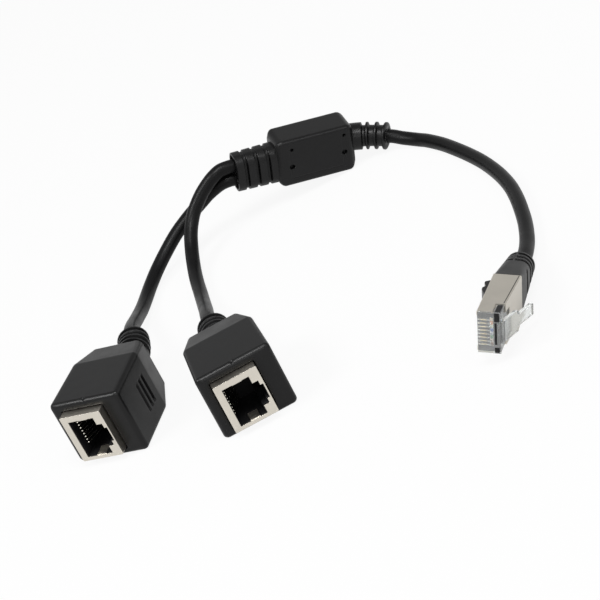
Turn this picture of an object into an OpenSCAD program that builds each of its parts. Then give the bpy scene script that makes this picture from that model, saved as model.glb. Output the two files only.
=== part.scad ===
// Network cable splitter: a shielded plug, a moulded Y block and two shielded jacks on three short cables.
// Millimetres, +Z up, origin on the table under the middle of the rigid pieces.

/* [Cable] */
// Outer diameter of the three cables
cable_d = 4.3; // [3.6:0.1:4.6]
// Flat sides of each cable tube
cable_sides = 12; // [8:1:12]

/* [Jack housing] */
// Width of the overmould's front, from the contact side to the latch side
jack_w = 22.2; // [21.2:0.1:24]
// Width where the overmould's taper starts
jack_crease_w = 21.2; // [19.5:0.1:22]
// Height of the overmould as it lies on its side
jack_h = 20.3; // [19:0.1:24]
// Length of the straight part of the overmould
jack_l = 18.7; // [17:0.1:22]
// Length of the tapered rear part
jack_taper_l = 8.7; // [6:0.1:12]
// Width of the rear end of the taper
jack_end_w = 13.3; // [11:0.1:16]
// Height of the rear end of the taper
jack_end_h = 16.8; // [12:0.1:18]
// Corner radius of the overmould
jack_r = 1.3; // [0.6:0.1:2]
// Bevel round the front face
jack_bevel = 0.7; // [0.3:0.1:1]
// Number of grip grooves in the latch side
grip_count = 3; // [1:1:3]
// Width of a grip groove
grip_w = 1.1; // [0.6:0.1:1.4]
// Depth of a grip groove
grip_depth = 0.8; // [0.4:0.1:1.2]
// Length of a grip groove
grip_l = 9.2; // [7:0.1:12]

/* [Jack port] */
// Width of the shield's front plate, across the thickness of the plug
port_w = 12.9; // [12.7:0.1:13.3]
// Height of the shield's front plate, along the contact row
port_h = 15.4; // [14.8:0.1:16]
// How far the shield stands out of the overmould
port_proud = 2.7; // [1:0.1:3.5]
// Length of the shield from its plate to its rear
port_l = 17; // [15:0.1:18.5]
// Sheet thickness of the shield
port_sheet = 0.3; // [0.2:0.05:0.4]
// Margin of the plate on the contact side of the window
window_margin = 2; // [1.8:0.05:2.2]
// Height of the window, along the contact row
window_h = 12.4; // [12:0.05:12.6]
// Width of a ground spring
tongue_w = 2.9; // [2:0.1:3.2]
// Reach of a ground spring behind the plate
tongue_l = 3.6; // [3:0.1:5]
// Width of the main window
window_w = 8; // [7.4:0.05:8.2]
// Height of the wide latch step
step_h = 7.6; // [6.6:0.05:8]
// Width of the wide latch step
step_w = 1.7; // [1.2:0.05:1.8]
// Height of the narrow latch step
notch_h = 4.6; // [3.6:0.05:5]
// Width of the narrow latch step
notch_w = 0.8; // [0.5:0.05:0.9]
// Clearance of the plug cavity inside the window
cavity_inset = 0.2; // [0.1:0.05:0.3]
// Depth of the plug cavity from the plate
cavity_l = 13.2; // [12:0.1:14]
// Diameter of a sprung contact wire
spring_d = 0.46; // [0.4:0.02:0.5]

/* [Plug] */
// Width of the plug along its contact row
plug_w = 11.68; // [11.5:0.02:11.8]
// Thickness of the nose
nose_t = 6; // [5.8:0.05:6.6]
// Thickness of the plug at its rear, inside its shield
plug_t = 6.9; // [6.7:0.05:8]
// Length from the nose to the rear of the shield
plug_l = 21.2; // [20:0.1:22]
// Sheet thickness of the plug's shield
plug_sheet = 0.28; // [0.2:0.02:0.35]
// Length of the nose in front of the shield's latch side
nose_l = 5.2; // [4.6:0.1:6]
// Pitch of the contacts
pitch = 1.02; // [0.98:0.01:1.04]
// Thickness of a contact blade
blade_t = 0.35; // [0.3:0.01:0.4]
// Diameter of a core's insulation
core_d = 0.94; // [0.84:0.02:0.96]
// Width of the latch lever at its root
latch_w = 6.1; // [5.6:0.1:6.4]
// Width of the latch lever's tip
latch_tip_w = 3.2; // [2.6:0.1:3.6]
// Thickness of the latch lever
latch_t = 1.1; // [0.8:0.05:1.3]
// Angle between the latch lever and the plug
latch_angle = 20; // [14:1:22]
// Reach of the latch lever behind the nose
latch_l = 14.6; // [12:0.1:15.5]
// Width of the toothed tab on the shield's contact side
tab_w = 3; // [2:0.1:3.4]
// Rise of that tab
tab_rise = 1.3; // [0.5:0.05:1.5]
// Length of the boot
boot_l = 17.2; // [15:0.1:19]
// Diameter of the boot's free end
boot_end_d = 7.8; // [7:0.1:8.8]
// Pitch of the ring grooves in the boot
boot_groove_pitch = 2.2; // [1.8:0.1:2.4]
// Width of a ring groove
boot_groove_w = 0.9; // [0.6:0.05:1.1]

/* [Y block] */
// Length of the Y block
block_l = 25.3; // [22:0.1:28]
// Thickness of the Y block
block_t = 11.2; // [10.4:0.1:12]
// Height of the Y block
block_h = 15.8; // [15.4:0.1:17]
// Corner radius of the block's large faces
block_r = 2.1; // [1:0.1:2.6]
// Rounding round the block's large faces
block_soft = 0.9; // [0.4:0.1:1.2]
// Length of the relief that holds two cables
fork_l = 12.8; // [11:0.1:15]
// Height of that relief at its free end
fork_h = 12.4; // [11:0.1:12.6]
// Thickness of that relief at its free end
fork_t = 8.4; // [7:0.1:9]
// Offset of that relief below the middle of the block
fork_drop = 1.1; // [0:0.1:1.3]
// Offset of the relief for one cable above the middle of the block
stem_rise = 0.85; // [0:0.05:2]

/* [Round reliefs] */
// Diameter of the ribs
rib_d = 8.6; // [8:0.1:9]
// Depth of the grooves between the ribs
rib_depth = 0.95; // [0.5:0.05:1.2]
// Run of the relief on the Y block
stem_run = 12.3; // [11:0.1:14]
// Diameter of the ribs on a jack
jack_rib_d = 9.4; // [8.4:0.1:10]
// Run of the relief on a jack
jack_stem_run = 14.5; // [11:0.1:16]

/* [Hidden] */
$fn = 48;

// Slack of a seated piece, all round
fit = 0.05;
// Overlap of bodies that are one moulding, and of a cutter past a face
eps = 0.01;
cut = 1;

// Where the pieces lie on the table, and how they are turned
jack_left_at = [-57.9, -50.3];
jack_left_turn = -16;
jack_left_bend = 30;
jack_right_at = [-12.9, -59.8];
jack_right_turn = 15.8;
jack_right_bend = 0;
block_at = [6.85, 64.7, 11.25];
block_turn = [8.6, 16.1, 19.7];
plug_at = [51.8, -72.3, 10.65];
plug_turn = [-8.4, 18.4, -17.3];

// Round relief on the Y block: angle at its root, and how far it bends on from there
stem_lean = 14;
stem_bend = 24;

// Offset of the port from the middle of the overmould
port_x = -1.3;
port_z = -0.25;
// Place of the ground springs beside the window's contact edge
tongue_x = 3;
// Inner size of the jack's shield, and the insert inside it
port_in_w = port_w - 2 * port_sheet;
port_in_h = port_h - 2 * port_sheet;
window_x = port_x - port_w / 2 + window_margin;
window_z = port_z - 0.35;
plate_y = -port_proud;

// Plug: sizes inside the shield
plug_in_w = plug_w - 2 * plug_sheet - 2 * fit;
comb_x = 0.35;
blade_depth = 1.9;
wire_x = 3.5;
shield_front = 0.7;
// Start of the toothed tab, from the rear of the shield
tab_back = 10.4;

CORE_COLOURS = ["Moccasin", "DarkOrange", "Honeydew", "RoyalBlue", "AliceBlue", "SeaGreen", "Tan", "SaddleBrown"];

// Cable routes: points that the middle of each cable passes through
trunk_route = [
    [30.2, 67, 4.7], [32, 66.3, 4.1], [34.3, 65.1, 3.2], [36.8, 63.5, 2.6], [39.5, 61.4, 2.2],
    [42.2, 58.6, 2.2], [46.7, 52.6, 2.2], [50.7, 46.1, 2.2], [54.4, 39.5, 2.2], [57.8, 32.7, 2.2],
    [60.7, 25.7, 2.2], [63.1, 18.7, 2.2], [65, 11.3, 2.2], [66.2, 3.7, 2.2], [66.9, -3.9, 2.2],
    [67.3, -11.5, 2.2], [67.2, -18.9, 2.3], [66.8, -24.9, 2.7], [66.1, -30.1, 3.3], [65.1, -34.5, 3.9],
    [64.6, -36.3, 4.2]
];
right_route = [
    [-15.9, 56.4, 19.5], [-17.7, 55.7, 20], [-19.9, 54.9, 20.3], [-22.2, 53.9, 19.8], [-24.7, 53.1, 18.6],
    [-27.5, 51.9, 16.9], [-29.8, 50.5, 15.1], [-32, 49, 13], [-33.6, 46.9, 10.9], [-34.8, 43.9, 8.7],
    [-35.7, 38.7, 5.5], [-35.7, 32.2, 3.2], [-34.9, 25.5, 2.3], [-33.6, 18.7, 2.2], [-32.2, 12, 2.9],
    [-30.7, 5.5, 4.3], [-29.1, -1, 6.2], [-27.7, -7.1, 8.1], [-26.3, -13, 9.7], [-24.9, -17.5, 10.2],
    [-24.3, -19.4, 10.2]
];
left_route = [
    [-17.3, 56.6, 15.1], [-19.1, 55.9, 15.7], [-21.5, 55.7, 15.7], [-24, 55.8, 15], [-26.9, 55.5, 14],
    [-29.7, 55, 12.7], [-35.1, 52.5, 10.6], [-40.2, 49, 8.4], [-44.8, 44.8, 5.8], [-48.4, 39.7, 3.8],
    [-50.9, 33.8, 2.5], [-52.2, 27.4, 2.2], [-52.8, 20.9, 2.8], [-53, 14.5, 4.2], [-52.7, 8.2, 6.1],
    [-52.2, 2, 8.2], [-51.5, -3.5, 9.7], [-50.6, -7.6, 10.2], [-50.1, -9.5, 10.2]
];

// Outlines and small helpers

// Rectangle with round corners, centred, made of squares and circles
module round_rect(w, h, r) {
    square([w - 2 * r, h], center = true);
    square([w, h - 2 * r], center = true);
    for (sx = [-1, 1], sy = [-1, 1]) translate([sx * (w / 2 - r), sy * (h / 2 - r)]) circle(r);
}

// Turns an outline drawn in x and z so that it is carried along +y, from y0 over length l
module along_y(y0, l) {
    translate([0, y0 + l, 0]) rotate([90, 0, 0]) linear_extrude(l) children();
}

// Thin slice of a round rectangle across y, for blending
module slice(y, w, h, r, x = 0, z = 0) {
    translate([x, 0, z]) along_y(y, eps) round_rect(w, h, r, $fn = 32);
}

// Cable as a tube: one ring of points across the route at each of its points
function unit(v) = v / norm(v);
function heading(p, i) = unit(p[min(i + 1, len(p) - 1)] - p[max(i - 1, 0)]);
function ring(p, i) =
    let (t = heading(p, i), u = unit(cross(t, [0, 0, 1])), v = cross(u, t))
    [for (k = [0:cable_sides - 1]) p[i] + cable_d / 2 * (cos(360 * k / cable_sides) * u + sin(360 * k / cable_sides) * v)];
function quad(i, k) =
    let (n = cable_sides, j = (k + 1) % n)
    [[i * n + k, i * n + j, (i + 1) * n + j, (i + 1) * n + k]];

module cable(route) {
    n = len(route);
    first = [for (k = [cable_sides - 1:-1:0]) k];
    last = [for (k = [0:cable_sides - 1]) (n - 1) * cable_sides + k];
    points = [for (i = [0:n - 1]) each ring(route, i)];
    sides = [for (i = [0:n - 2], k = [0:cable_sides - 1]) each quad(i, k)];
    color([0.07, 0.07, 0.075]) polyhedron(points, concat([first], sides, [last]));
}

// Round relief, running along +x and bending towards -y: core, ribs and end rib

module at_run(run, bend, part) {
    if (bend == 0) {
        translate([run * part, 0, 0]) children();
    } else {
        radius = run / (bend * PI / 180);
        translate([radius * sin(bend * part), -radius * (1 - cos(bend * part)), 0])
            rotate([0, 0, -bend * part]) children();
    }
}

module relief_core(d, run, bend) {
    if (bend == 0) {
        rotate([0, 90, 0]) cylinder(h = run, d = d);
    } else {
        radius = run / (bend * PI / 180);
        translate([0, -radius, 0]) rotate([0, 0, 90 - bend]) rotate_extrude(angle = bend, $fn = 180)
            translate([radius, 0]) circle(d = d);
    }
}

module relief(d, run, bend, root, ribs, rib_l) {
    relief_core(d - 2 * rib_depth, run, bend);
    step = (run - root - rib_l) / ribs;
    at_run(run, bend, root / run / 2) rotate([0, 90, 0]) cylinder(h = root + 2, d = d, center = true);
    for (i = [1:ribs]) at_run(run, bend, (root + i * step + rib_l / 2) / run)
        rotate([0, 90, 0]) cylinder(h = rib_l, d = d, center = true);
}

// Jack, drawn with its front face at y = 0 and its rear along +y, contact side at -x

module window_outline(grow) {
    h = window_h + 2 * grow;
    translate([window_x - grow, window_z - h / 2]) square([window_w + 2 * grow, h]);
    step_x = window_x + window_w + grow;
    sh = step_h + 2 * grow;
    translate([step_x - eps, window_z - sh / 2]) square([step_w + eps, sh]);
    nh = notch_h + 2 * grow;
    translate([step_x + step_w - eps, window_z - nh / 2]) square([notch_w + eps, nh]);
}

// Outline with its two front corners bevelled, from width w at y = 0 to rear_w at y = l
module bevel_outline(w, rear_w, l, bevel) {
    polygon([[-w / 2, bevel], [bevel - w / 2, 0], [w / 2 - bevel, 0], [w / 2, bevel], [rear_w / 2, l], [-rear_w / 2, l]]);
}

// Half width of the overmould at a distance behind its front
function jack_side(y) = (jack_w + (jack_crease_w - jack_w) * y / jack_l) / 2;

module jack_relief(bend) {
    translate([0, jack_l + jack_taper_l - eps, 0]) rotate([0, 0, 90]) mirror([0, 1, 0])
        relief(jack_rib_d, jack_stem_run, bend, 5, 4, 1.2);
}

module jack_housing(bend) {
    color([0.1, 0.1, 0.105]) difference() {
        union() {
            intersection() {
                along_y(0, jack_l) round_rect(jack_w, jack_h, jack_r);
                translate([0, 0, -jack_h / 2]) linear_extrude(jack_h)
                    bevel_outline(jack_w, jack_crease_w, jack_l, jack_bevel);
                rotate([0, 90, 0]) translate([0, 0, -jack_w / 2]) linear_extrude(jack_w)
                    bevel_outline(jack_h, jack_h, jack_l, jack_bevel);
            }
            hull() {
                slice(jack_l, jack_crease_w, jack_h, jack_r);
                slice(jack_l + jack_taper_l - eps, jack_end_w, jack_end_h, jack_r);
            }
            jack_relief(bend);
        }
        translate([port_x, 0, port_z]) along_y(-cut, port_l - port_proud + fit + cut)
            square([port_w + 2 * fit, port_h + 2 * fit], center = true);
        for (i = [0:grip_count - 1]) {
            y = jack_l - 3 - grip_w - i * 2 * grip_w;
            translate([jack_side(y) - grip_depth, y, -grip_l / 2]) cube([grip_depth + cut, grip_w, grip_l]);
        }
        translate([0, 0, jack_h / 2]) rotate([0, 45, 0]) cube([0.7, 2 * jack_bevel, 0.7], center = true);
    }
}

// Ground spring: a tongue folded in from the plate, along the narrow wall of the cavity
module ground_spring() {
    dip = 0.25;
    translate([window_x + tongue_x + tongue_w, plate_y + port_sheet / 2, 0]) rotate([0, -90, 0]) linear_extrude(tongue_w)
        polygon([[0, 0], [0, tongue_l * 0.6], [-dip, tongue_l], [-dip - port_sheet, tongue_l],
                 [-port_sheet, tongue_l * 0.6], [-port_sheet, 0]]);
}

module jack_shield() {
    color([0.78, 0.76, 0.72]) {
        difference() {
            translate([port_x, 0, port_z]) along_y(plate_y, port_l) round_rect(port_w, port_h, 0.35);
            translate([port_x, 0, port_z]) along_y(plate_y + port_sheet, port_l)
                square([port_in_w, port_in_h], center = true);
            along_y(plate_y - cut, 2 * cut) window_outline(0);
        }
        for (side = [-1, 1]) translate([0, 0, window_z]) mirror([0, 0, side < 0 ? 1 : 0])
            translate([0, 0, window_h / 2 + 0.05]) ground_spring();
    }
}

// Sprung wire: its bend behind the plate, its leg in the wall and its slope into the cavity
spring_front = 3.4;
spring_leg_x = window_x - 0.45;
spring_reach = 0.7;
spring_slope = 22;
spring_run = 9;

module jack_insert() {
    insert_l = port_l - port_sheet - fit;
    y0 = plate_y + port_sheet + fit;
    color([0.09, 0.09, 0.1]) difference() {
        translate([port_x, 0, port_z]) along_y(y0, insert_l)
            square([port_in_w - 2 * fit, port_in_h - 2 * fit], center = true);
        along_y(y0 - cut, cavity_l + cut) window_outline(-cavity_inset);
        for (side = [-1, 1]) translate([window_x + tongue_x - 0.2, y0 - cut, window_z + side * window_h / 2 - 0.6])
            cube([tongue_w + 0.4, tongue_l + 0.6 + cut, 1.2]);
        for (i = [1:8]) translate([spring_leg_x - 0.35, plate_y + spring_front - 0.3, wire_z(i) - pitch * 0.32])
            cube([2, spring_run + 0.8, pitch * 0.64]);
    }
}

function wire_z(i) = window_z + (4.5 - i) * pitch;

// Sprung contact wire: a leg in its groove, a turn at the front and a slope back into the cavity
module jack_contact(i) {
    color("Gold") translate([spring_leg_x, plate_y + spring_front, wire_z(i)]) {
        rotate([-90, 0, 0]) cylinder(h = spring_run, d = spring_d, $fn = 16);
        sphere(d = spring_d, $fn = 16);
        rotate([0, 90, 0]) cylinder(h = spring_reach, d = spring_d, $fn = 16);
        translate([spring_reach, 0, 0]) {
            sphere(d = spring_d, $fn = 16);
            rotate([-90, 0, -spring_slope]) cylinder(h = spring_run / cos(spring_slope) - 2, d = spring_d, $fn = 16);
        }
    }
}

// Plug, drawn with its nose at y = 0, contact side at x = 0, contact row along z

module plug_latch() {
    run = latch_l / cos(latch_angle);
    intersection() {
        translate([nose_t - 0.6, 0.9, 0]) rotate([0, 0, -latch_angle]) translate([0, 0, -latch_w / 2])
            cube([latch_t, run, latch_w]);
        translate([0, 0, 0]) rotate([0, 90, 0]) linear_extrude(3 * nose_t)
            polygon([[-latch_w / 2, 0], [latch_w / 2, 0], [latch_w / 2, 7.6], [latch_tip_w / 2, 8.4],
                     [latch_tip_w / 2, latch_l], [-latch_tip_w / 2, latch_l], [-latch_tip_w / 2, 8.4],
                     [-latch_w / 2, 7.6]]);
    }
    translate([nose_t - 1.2, 0.4, -latch_w / 2]) cube([1.8, 2, latch_w]);
}

// Side view of the plug's block, grown all round: straight contact side, latch side rising behind the nose
module plug_side(grow, y0, y1) {
    rise = (plug_t - nose_t) / (plug_l - nose_l);
    polygon([[-grow, y0], [nose_t + grow, y0], [nose_t + grow, nose_l], [nose_t + grow + rise * (y1 - nose_l), y1],
             [-grow, y1]]);
}

module plug_body() {
    color([0.86, 0.88, 0.86, 0.5]) {
        difference() {
            union() {
                linear_extrude(plug_in_w, center = true) plug_side(0, 0, plug_l - 1);
                translate([0, 0, -plug_w / 2]) cube([nose_t, shield_front - fit, plug_w]);
            }
            for (i = [1:8]) translate([-cut, 0.5, core_z(i) - blade_t / 2 - fit])
                cube([cut + wire_x, 6, blade_t + 2 * fit]);
            translate([wire_x - core_d / 2 - fit, 1, -4 * pitch]) cube([core_d + 2 * fit, plug_l, 8 * pitch]);
            translate([1.6, 11, -plug_in_w / 2 + 1.2]) cube([plug_t - 3.2, plug_l, plug_in_w - 2.4]);
        }
        plug_latch();
    }
}

function core_z(i) = (4.5 - i) * pitch;

module plug_shield() {
    skin = plug_sheet + fit;
    color([0.76, 0.74, 0.7]) difference() {
        union() {
            intersection() {
                translate([plug_t / 2, 0, 0]) along_y(shield_front, plug_l - shield_front)
                    round_rect(plug_t + 2 * skin, plug_w, 0.4);
                linear_extrude(plug_w, center = true) plug_side(skin, 0, plug_l);
            }
            translate([-skin, plug_l - tab_back, plug_w / 2 - 0.4 - tab_w]) linear_extrude(tab_w)
                polygon([[skin, 0], [0, 0], [-tab_rise, 2.4], [-tab_rise, 3], [-0.4 * tab_rise, 3.4], [-tab_rise, 5.8],
                         [-tab_rise, 6.4], [0, 7.2], [skin, 7.2]]);
        }
        linear_extrude(plug_in_w + 2 * fit, center = true) plug_side(fit, -cut, plug_l + cut);
        translate([nose_t - 2.2, -cut, -plug_w]) cube([2 * plug_t, nose_l + cut, 2 * plug_w]);
        translate([nose_t, -cut, -latch_w / 2 - 0.4]) cube([2 * plug_t, 8.6 + cut, latch_w + 0.8]);
        translate([-2, -cut, -plug_w / 2 + 1.4]) cube([3, 9 + cut, plug_w - 2.8]);
    }
}

// Boot: one straight taper from the shield to a round end, with ring grooves near that end
module plug_boot() {
    flush_t = plug_t + 2 * plug_sheet;
    mid_x = plug_t / 2;
    end = plug_l + boot_l;
    core = boot_end_d - 1.6;
    color([0.08, 0.08, 0.085]) difference() {
        hull() {
            slice(plug_l + fit, flush_t, plug_w - 0.1, 0.8, x = mid_x);
            slice(end - eps, boot_end_d, boot_end_d, boot_end_d / 2 - eps, x = mid_x);
        }
        for (i = [1:3]) translate([mid_x, end - i * boot_groove_pitch, 0]) rotate([-90, 0, 0]) difference() {
            cylinder(h = boot_groove_w, d = 2 * plug_w);
            translate([0, 0, -cut]) cylinder(h = boot_groove_w + 2 * cut, d = core + i * 0.5);
        }
        translate([mid_x + flush_t / 2 - 0.6, plug_l + 6.6, -3.6]) cube([3, boot_groove_w, 7.2]);
    }
}

// Contact blade: exposed edge towards the contact side, two teeth towards the core
module plug_contact(i) {
    top = comb_x;
    base = comb_x + blade_depth;
    tooth = wire_x - core_d / 2 - fit / 2;
    color("Gold") translate([0, 0, core_z(i) - blade_t / 2]) linear_extrude(blade_t)
        polygon([[top + 0.5, 0.6], [top, 1.1], [top, 6.2], [base, 6.2], [tooth, 5.6], [base, 5.0], [base, 3.6],
                 [tooth, 3.0], [base, 2.4], [base, 0.6]]);
}

module plug_wire(i) {
    color(CORE_COLOURS[i - 1]) translate([wire_x, 1.1, core_z(i)]) rotate([-90, 0, 0])
        cylinder(h = plug_l - 1.2, d = core_d, $fn = 24);
}

// Y block, centred, long side along x, its two-cable relief at -x and its one-cable relief at +x

module block_face_marks() {
    for (p = [[-7.8, 4.6, 0.9], [9.4, 5.1, 0.9], [-8.2, -1.3, 1.5], [9.1, -0.8, 1.5]])
        translate([p[0], -block_t / 2 - cut, p[1]]) rotate([-90, 0, 0]) cylinder(h = cut + 0.8, d = p[2], $fn = 24);
}

module junction_housing() {
    color([0.09, 0.09, 0.095]) {
        difference() {
            intersection() {
                along_y(-block_t / 2, block_t) round_rect(block_l, block_h, block_r);
                linear_extrude(block_h, center = true) round_rect(block_l, block_t, block_soft);
                rotate([0, 90, 0]) linear_extrude(block_l, center = true) round_rect(block_h, block_t, block_soft);
            }
            block_face_marks();
            mirror([0, 1, 0]) block_face_marks();
        }
        fork_relief();
        translate([block_l / 2 - 1, 0, stem_rise]) rotate([0, 0, -stem_lean]) translate([1, 0, 0])
            relief(rib_d, stem_run, stem_bend, 3.4, 3, 1.5);
    }
}

// Ribbed relief for two cables, one above the other
module fork_relief() {
    ribs = 4;
    rib_l = 2;
    step = (fork_l - rib_l) / (ribs - 1);
    start = -block_l / 2;
    translate([start + eps, 0, -fork_drop]) rotate([0, -90, 0])
        linear_extrude(fork_l - 0.5) round_rect(fork_h - 1.8, fork_t - 1.8, 3);
    for (i = [0:ribs - 1]) {
        grow = (ribs - 1 - i) * 0.2;
        translate([start - i * step + eps, 0, -fork_drop]) rotate([0, -90, 0])
            linear_extrude(rib_l) round_rect(fork_h + grow, fork_t + grow, 3.4);
    }
}

// Places

module place_jack(at, turn) {
    translate([at[0], at[1], jack_h / 2]) rotate([0, 0, turn]) children();
}
module place_left() { place_jack(jack_left_at, jack_left_turn) children(); }
module place_right() { place_jack(jack_right_at, jack_right_turn) children(); }
module place_plug() { translate(plug_at) rotate([0, 0, plug_turn[2]]) rotate([0, plug_turn[1], 0]) rotate([plug_turn[0], 0, 0]) children(); }
module place_block() { translate(block_at) rotate([0, 0, block_turn[2]]) rotate([0, block_turn[1], 0]) rotate([block_turn[0], 0, 0]) children(); }

place_plug() plug_body();
place_plug() plug_shield();
place_plug() plug_boot();
for (i = [1:8]) place_plug() plug_contact(i);
for (i = [1:8]) place_plug() plug_wire(i);
cable(trunk_route);  // cable_trunk
cable(left_route);  // cable_branch_left
cable(right_route);  // cable_branch_right
place_block() junction_housing();
place_left() jack_housing(jack_left_bend);  // jack_left_housing
place_left() jack_shield();  // jack_left_shield
place_left() jack_insert();  // jack_left_insert
for (i = [1:8]) place_left() jack_contact(i);
place_right() jack_housing(jack_right_bend);  // jack_right_housing
place_right() jack_shield();  // jack_right_shield
place_right() jack_insert();  // jack_right_insert
for (i = [1:8]) place_right() jack_contact(i);
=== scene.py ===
"""Network cable splitter: a clear shielded plug, a moulded Y block and two shielded jacks on three cables.

Sizes are in millimetres in the classes, and metres in the meshes. Every piece lies in the part's own frame,
with +Z up and the table at z = 0.
"""
import logging
import math
from dataclasses import dataclass, field
from enum import Enum

import bmesh
import bpy
import numpy as np
from mathutils import Matrix, Vector


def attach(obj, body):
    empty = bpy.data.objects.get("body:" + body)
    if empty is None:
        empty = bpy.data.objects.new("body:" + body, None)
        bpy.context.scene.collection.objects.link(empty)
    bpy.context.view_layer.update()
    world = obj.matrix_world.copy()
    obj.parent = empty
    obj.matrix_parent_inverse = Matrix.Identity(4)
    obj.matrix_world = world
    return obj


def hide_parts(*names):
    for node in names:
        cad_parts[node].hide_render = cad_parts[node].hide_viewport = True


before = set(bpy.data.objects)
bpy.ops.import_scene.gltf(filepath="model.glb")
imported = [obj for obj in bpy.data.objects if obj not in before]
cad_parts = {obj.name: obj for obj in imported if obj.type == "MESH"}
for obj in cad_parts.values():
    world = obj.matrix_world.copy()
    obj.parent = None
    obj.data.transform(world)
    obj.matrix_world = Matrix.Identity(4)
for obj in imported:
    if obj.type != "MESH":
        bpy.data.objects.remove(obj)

Vec = tuple[float, float, float]
LOG = logging.getLogger("splitter")
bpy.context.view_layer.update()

MM = 0.001           # a millimetre in metres
WELD = 2e-6          # points of a mesh that lie closer than this become one, in metres
SLIVER = 1e-6        # edges shorter than this are dissolved, in metres
FLAT = 1.0           # faces of a copied node within this many degrees are one
HARD_EDGE = 35.0     # edges of a copied node sharper than this many degrees are rounded
NEAR_SIDE = 0.05     # a point this near to a flat side lies on it, in millimetres
CABLE_HOLE = 4.6     # diameter of the hole that a relief leaves round its cable, in millimetres
HOLE_TUCK = 0.25     # how far that hole's rim lies inside the relief's end, in millimetres
WHITE = (1.0, 1.0, 1.0, 1.0)


# Finishes

BROAD_NOISE = (180.0, 3.0)      # scale per metre and octaves of the drift in colour and roughness
FINE_OCTAVES = 2.0
RELIEF_STRENGTH = 0.6
TONE_SPAN = (0.3, 0.7)          # noise values between which the colour runs from low to high
SWING_SPAN = (0.25, 0.75)       # noise values between which the roughness runs from low to high
LEAST_ROUGHNESS = 0.02


class Grain(Enum):
    """How a surface's fine relief runs: the scale of its noise along each axis, or none."""

    MOULDED = (1.0, 1.0, 1.0)
    EXTRUDED = (1.0, 0.35, 1.0)
    ROLLED = (1.0, 0.12, 1.0)
    PLAIN = None


@dataclass(frozen=True)
class Finish:
    """A procedural finish: one Principled shader with noise in its colour, roughness and relief."""

    name: str
    slot: str
    colour: Vec
    roughness: float
    metallic: float = 0.0
    ior: float = 1.5
    specular: float = 0.5
    tone: float = 0.12
    rough_swing: float = 0.06
    grain: Grain = Grain.MOULDED
    grain_scale: float = 5200.0
    grain_height: float = 0.00001
    clear: float = 0.0

    def material(self) -> bpy.types.Material:
        """Builds the material, or gives back the one built before.

        Returns:
            The node-based material.
        """
        known = bpy.data.materials.get(self.name)
        if known is not None:
            return known
        mat = bpy.data.materials.new(self.name)
        mat.use_nodes = True
        tree = mat.node_tree
        shader = tree.nodes["Principled BSDF"]
        shader.inputs["Base Color"].default_value = (*self.colour, 1.0)
        shader.inputs["Roughness"].default_value = self.roughness
        shader.inputs["Metallic"].default_value = self.metallic
        shader.inputs["IOR"].default_value = self.ior
        shader.inputs["Specular IOR Level"].default_value = self.specular
        shader.inputs["Transmission Weight"].default_value = self.clear
        coord = tree.nodes.new("ShaderNodeTexCoord")
        broad = self._noise(tree, coord, Grain.MOULDED.value, *BROAD_NOISE)
        self._tone(tree, broad, shader)
        self._swing(tree, broad, shader)
        if self.grain is not Grain.PLAIN:
            fine = self._noise(tree, coord, self.grain.value, self.grain_scale, FINE_OCTAVES)
            bump = tree.nodes.new("ShaderNodeBump")
            bump.inputs["Strength"].default_value = RELIEF_STRENGTH
            bump.inputs["Distance"].default_value = self.grain_height
            tree.links.new(fine, bump.inputs["Height"])
            tree.links.new(bump.outputs["Normal"], shader.inputs["Normal"])
        return mat

    def _noise(self, tree: bpy.types.NodeTree, coord: bpy.types.Node, stretch: Vec, scale: float,
               detail: float) -> bpy.types.NodeSocket:
        """Adds a noise on Object coordinates.

        Args:
            tree: The material's node tree.
            coord: Its Texture Coordinate node.
            stretch: Scale along each axis.
            scale: Noise scale per metre.
            detail: Octaves.

        Returns:
            The noise's factor socket.
        """
        place = tree.nodes.new("ShaderNodeMapping")
        place.inputs["Scale"].default_value = stretch
        noise = tree.nodes.new("ShaderNodeTexNoise")
        noise.inputs["Scale"].default_value = scale
        noise.inputs["Detail"].default_value = detail
        tree.links.new(coord.outputs["Object"], place.inputs["Vector"])
        tree.links.new(place.outputs["Vector"], noise.inputs["Vector"])
        return noise.outputs["Fac"]

    def _tone(self, tree: bpy.types.NodeTree, broad: bpy.types.NodeSocket, shader: bpy.types.Node) -> None:
        """Lets the colour drift a little either side of its own value.

        Args:
            tree: The material's node tree.
            broad: The noise that drives the drift.
            shader: The Principled shader.
        """
        ramp = tree.nodes.new("ShaderNodeValToRGB")
        low = [max(0.0, c * (1.0 - self.tone)) for c in self.colour]
        high = [min(1.0, c * (1.0 + self.tone)) for c in self.colour]
        for stop, place, colour in zip(ramp.color_ramp.elements, TONE_SPAN, (low, high)):
            stop.position = place
            stop.color = (*colour, 1.0)
        tree.links.new(broad, ramp.inputs["Fac"])
        tree.links.new(ramp.outputs["Color"], shader.inputs["Base Color"])

    def _swing(self, tree: bpy.types.NodeTree, broad: bpy.types.NodeSocket, shader: bpy.types.Node) -> None:
        """Lets the roughness drift either side of its own value.

        Args:
            tree: The material's node tree.
            broad: The noise that drives the drift.
            shader: The Principled shader.
        """
        span = tree.nodes.new("ShaderNodeMapRange")
        span.inputs["From Min"].default_value, span.inputs["From Max"].default_value = SWING_SPAN
        span.inputs["To Min"].default_value = max(LEAST_ROUGHNESS, self.roughness - self.rough_swing)
        span.inputs["To Max"].default_value = self.roughness + self.rough_swing
        tree.links.new(broad, span.inputs["Value"])
        tree.links.new(span.outputs["Result"], shader.inputs["Roughness"])


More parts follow.
